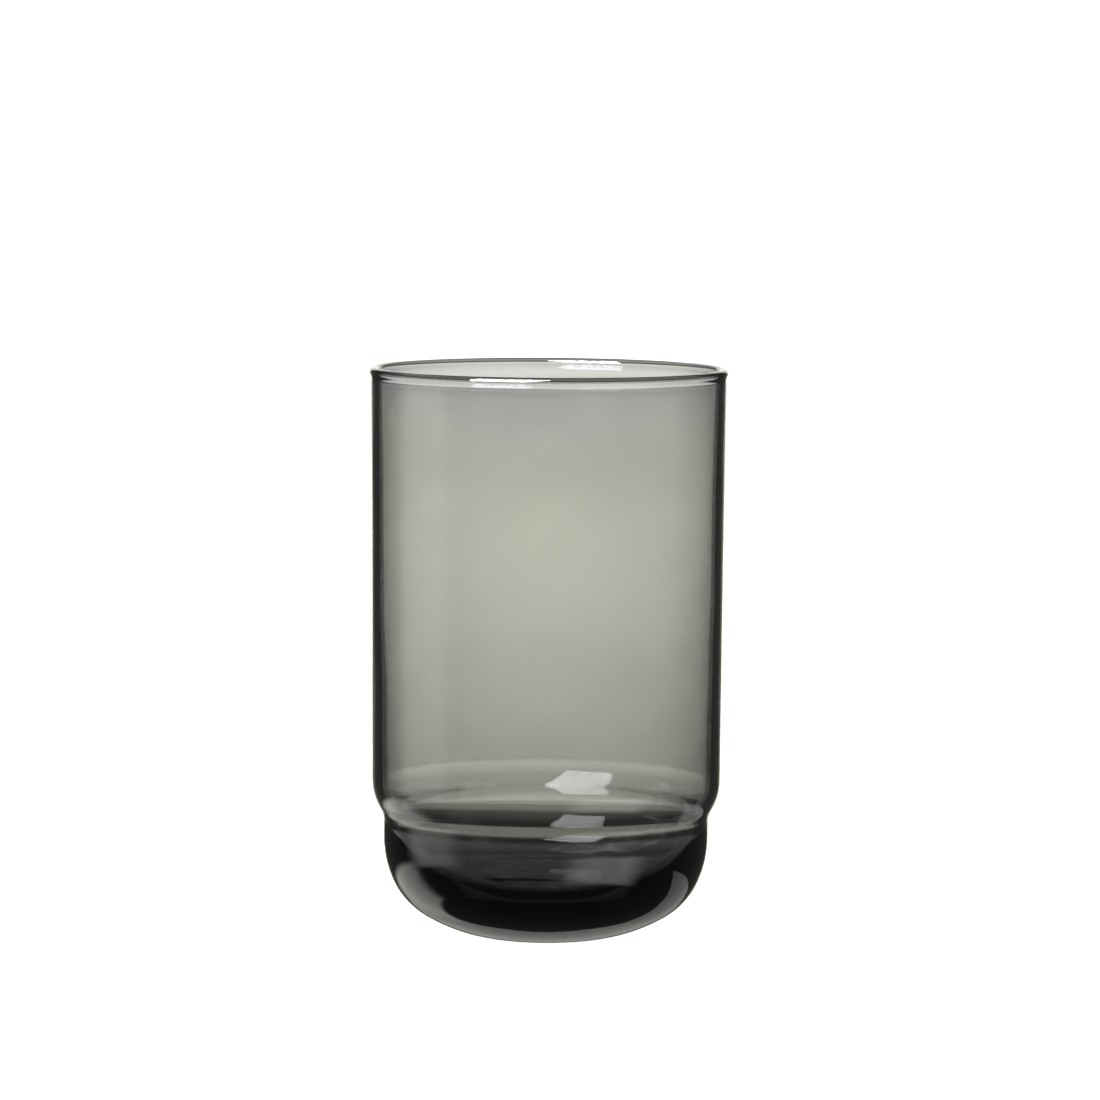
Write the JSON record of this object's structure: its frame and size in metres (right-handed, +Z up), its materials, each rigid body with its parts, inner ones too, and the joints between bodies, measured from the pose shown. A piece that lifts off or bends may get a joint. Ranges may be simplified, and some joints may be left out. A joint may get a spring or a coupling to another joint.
{
  "type": "glass cylinder vase",
  "caption": "Small smoked-glass vase or tumbler: nearly straight round body, beaded rim, and a stepped round foot over a thick base, so that like pieces stack.",
  "frame": {"origin": "centre of the standing face, on the surface the vase stands on", "axes": "+Z up along the axis of revolution, out of the mouth; X and Y are arbitrary because the vase is round"},
  "size_m": [0.08, 0.08, 0.1272],
  "materials": {
    "smoked_glass": "fire-polished clear glass with an even smoky grey tint, darker where the glass is thick"
  },
  "bodies": {
    "root": {"glass_vase": "smoked_glass"}
  },
  "joints": []
}
